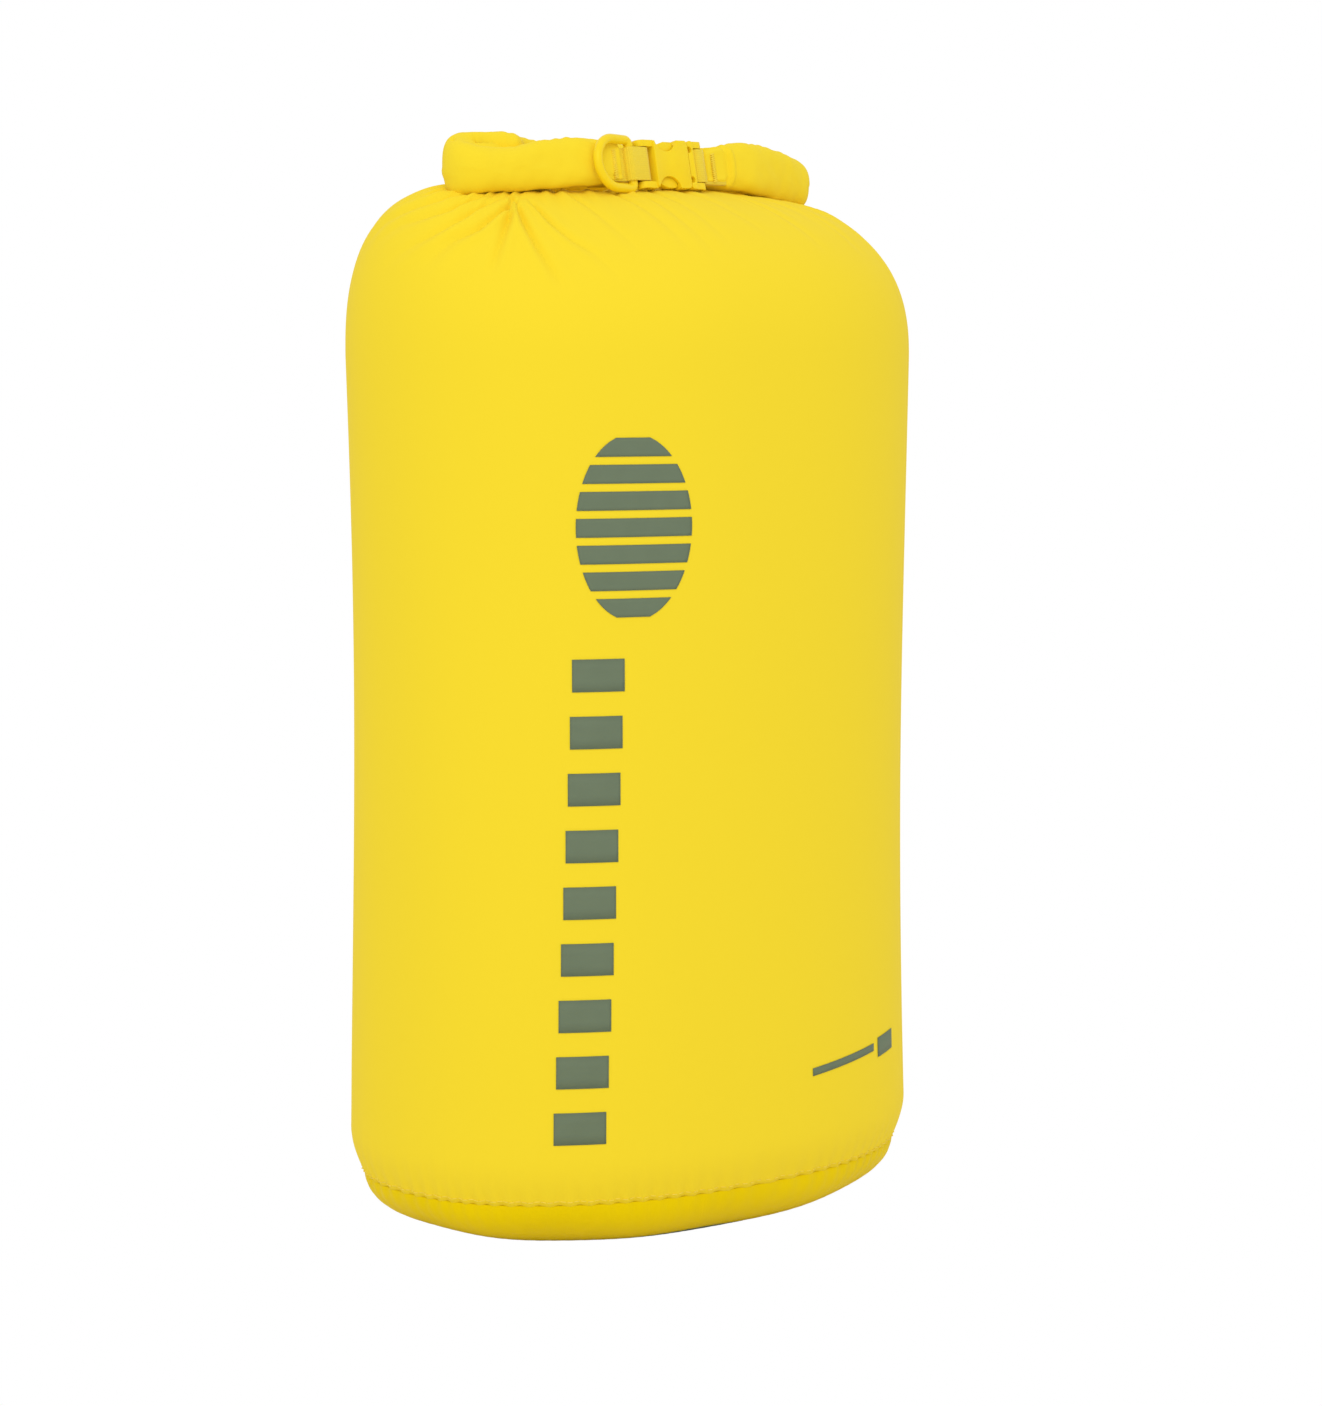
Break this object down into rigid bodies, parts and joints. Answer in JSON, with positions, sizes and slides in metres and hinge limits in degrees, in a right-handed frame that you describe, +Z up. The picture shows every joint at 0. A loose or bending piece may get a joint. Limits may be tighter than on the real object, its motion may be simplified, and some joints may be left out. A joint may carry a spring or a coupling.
{
  "type": "roll-top stuff sack",
  "caption": "Oval waterproof stuff sack standing full and closed, its mouth rolled down, bent round to the front and clipped with a side-release buckle beside a D-ring.",
  "frame": {"origin": "centre of the base, on the surface the sack stands on", "axes": "+Z up the sack towards its rolled mouth, +X along the roll towards the plug's side, -Y towards the printed front and the buckle"},
  "size_m": [0.28, 0.1967, 0.4878],
  "materials": {
    "coated_nylon": "fine plain weave nylon with a slight sheen",
    "seam_tape": "smooth translucent tape",
    "print_ink": "flat screen print",
    "stiffener": "thin flexible strip",
    "webbing": "fine flat webbing",
    "thread": "polyester thread",
    "buckle_plastic": "fine moulded texture",
    "ring_plastic": "smooth moulded"
  },
  "bodies": {
    "root": {"body_panel": "coated_nylon", "base_panel": "coated_nylon", "base_seam_tape": "seam_tape", "side_seam_tape": "seam_tape", "side_seam_fell": "coated_nylon", "front_print": "print_ink", "size_print": "print_ink"},
    "closure": {"rolled_mouth_rear": "coated_nylon", "rolled_mouth_left": "coated_nylon", "stiffener_main": "stiffener", "left_tab": "webbing", "left_bartack": "thread", "buckle_socket": "buckle_plastic", "socket_pin": "buckle_plastic"},
    "plug_side": {"rolled_mouth_right": "coated_nylon", "stiffener_right": "stiffener", "right_tab": "webbing", "right_bartack": "thread", "buckle_plug": "buckle_plastic", "plug_pin": "buckle_plastic"},
    "upper_latch": {"upper_prong": "buckle_plastic"},
    "lower_latch": {"lower_prong": "buckle_plastic"},
    "ring": {"d_ring": "ring_plastic"}
  },
  "joints": [
    {"name": "loop_lift", "type": "hinge", "parent": "root", "child": "closure", "pos_m": [0, 0.012, 0.464], "axis": [-1, 0, 0], "range_deg": [0, 40]},
    {"name": "buckle_release", "type": "slide", "parent": "closure", "child": "plug_side", "axis": [1, 0, 0], "range_m": [0, 0.02], "deforming": ["upper_prong", "lower_prong"]},
    {"name": "squeeze_upper", "type": "hinge", "parent": "plug_side", "child": "upper_latch", "pos_m": [0.00525, -0.02859, 0.48115], "axis": [0, -0.9781, 0.2079], "range_deg": [0, 12], "stiffness_Nm_per_rad": 0.05},
    {"name": "squeeze_lower", "type": "hinge", "parent": "plug_side", "child": "lower_latch", "pos_m": [0.00525, -0.03141, 0.46785], "axis": [0, 0.9781, -0.2079], "range_deg": [0, 12], "stiffness_Nm_per_rad": 0.05},
    {"name": "ring_swing", "type": "hinge", "parent": "closure", "child": "ring", "pos_m": [-0.0264, -0.03, 0.4745], "axis": [0, 0.2079, 0.9781], "range_deg": [0, 95]}
  ],
  "couplings": [
    {"joint": "squeeze_lower", "follows": "squeeze_upper", "ratio": 1}
  ]
}
